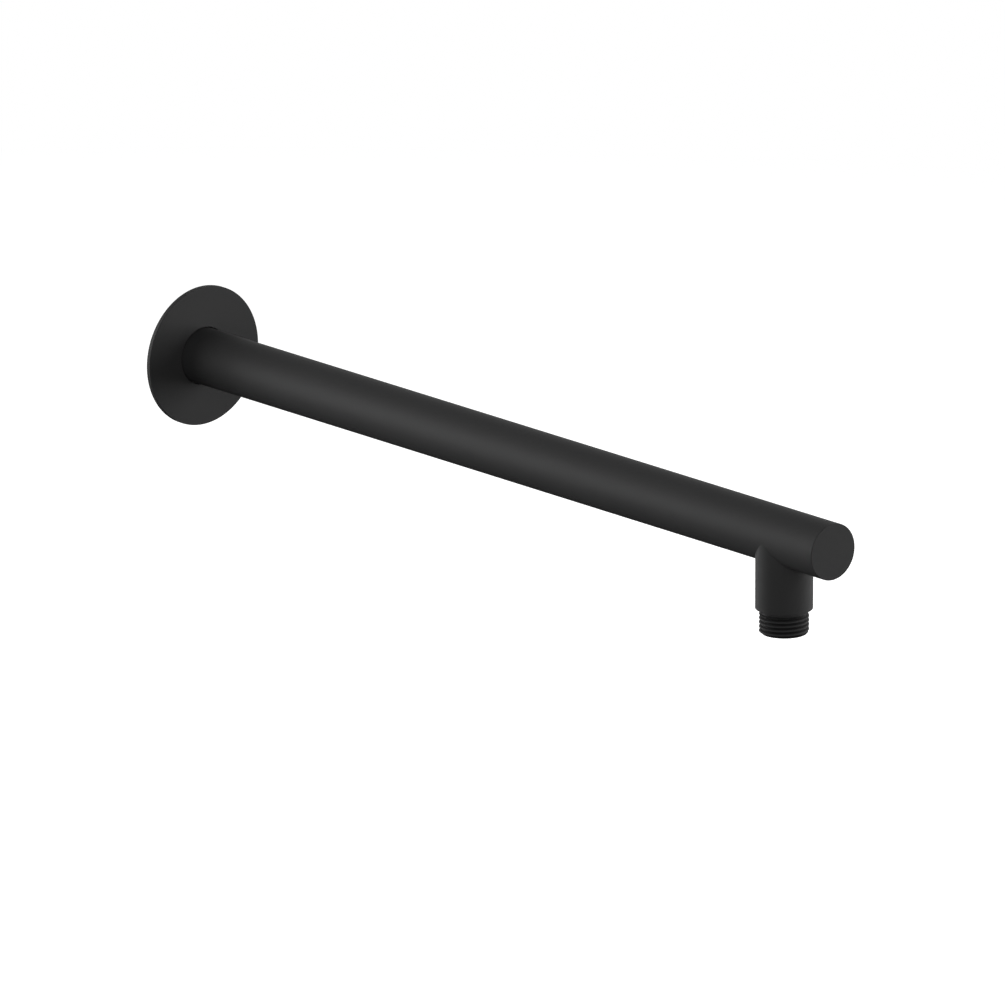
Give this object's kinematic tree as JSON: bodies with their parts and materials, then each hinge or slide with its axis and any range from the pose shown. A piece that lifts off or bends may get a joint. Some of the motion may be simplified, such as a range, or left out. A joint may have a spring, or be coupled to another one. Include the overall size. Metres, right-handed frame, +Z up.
{
  "type": "shower arm",
  "caption": "Straight round shower arm for a wall, matt black, with a slim round rose that slides on the tube and a male-threaded outlet pointing down near the closed end.",
  "frame": {"origin": "on the tube's axis, in the plane of the wall, which is the back face of the rose", "axes": "+X out of the wall along the tube, +Z up, outlet pointing along -Z"},
  "size_m": [0.4205, 0.06, 0.0708],
  "materials": {
    "matt_black": "matt",
    "grip_rubber": "satin"
  },
  "bodies": {
    "arm": {"arm_tube": "matt_black", "end_cap": "matt_black", "outlet_spigot": "matt_black", "inlet_nipple": "matt_black"},
    "rose": {"wall_rose": "matt_black", "rose_grip_ring": "grip_rubber"}
  },
  "joints": [
    {"name": "rose_slide", "type": "slide", "parent": "arm", "child": "rose", "axis": [1, 0, 0], "range_m": [0, 0.3555]}
  ]
}
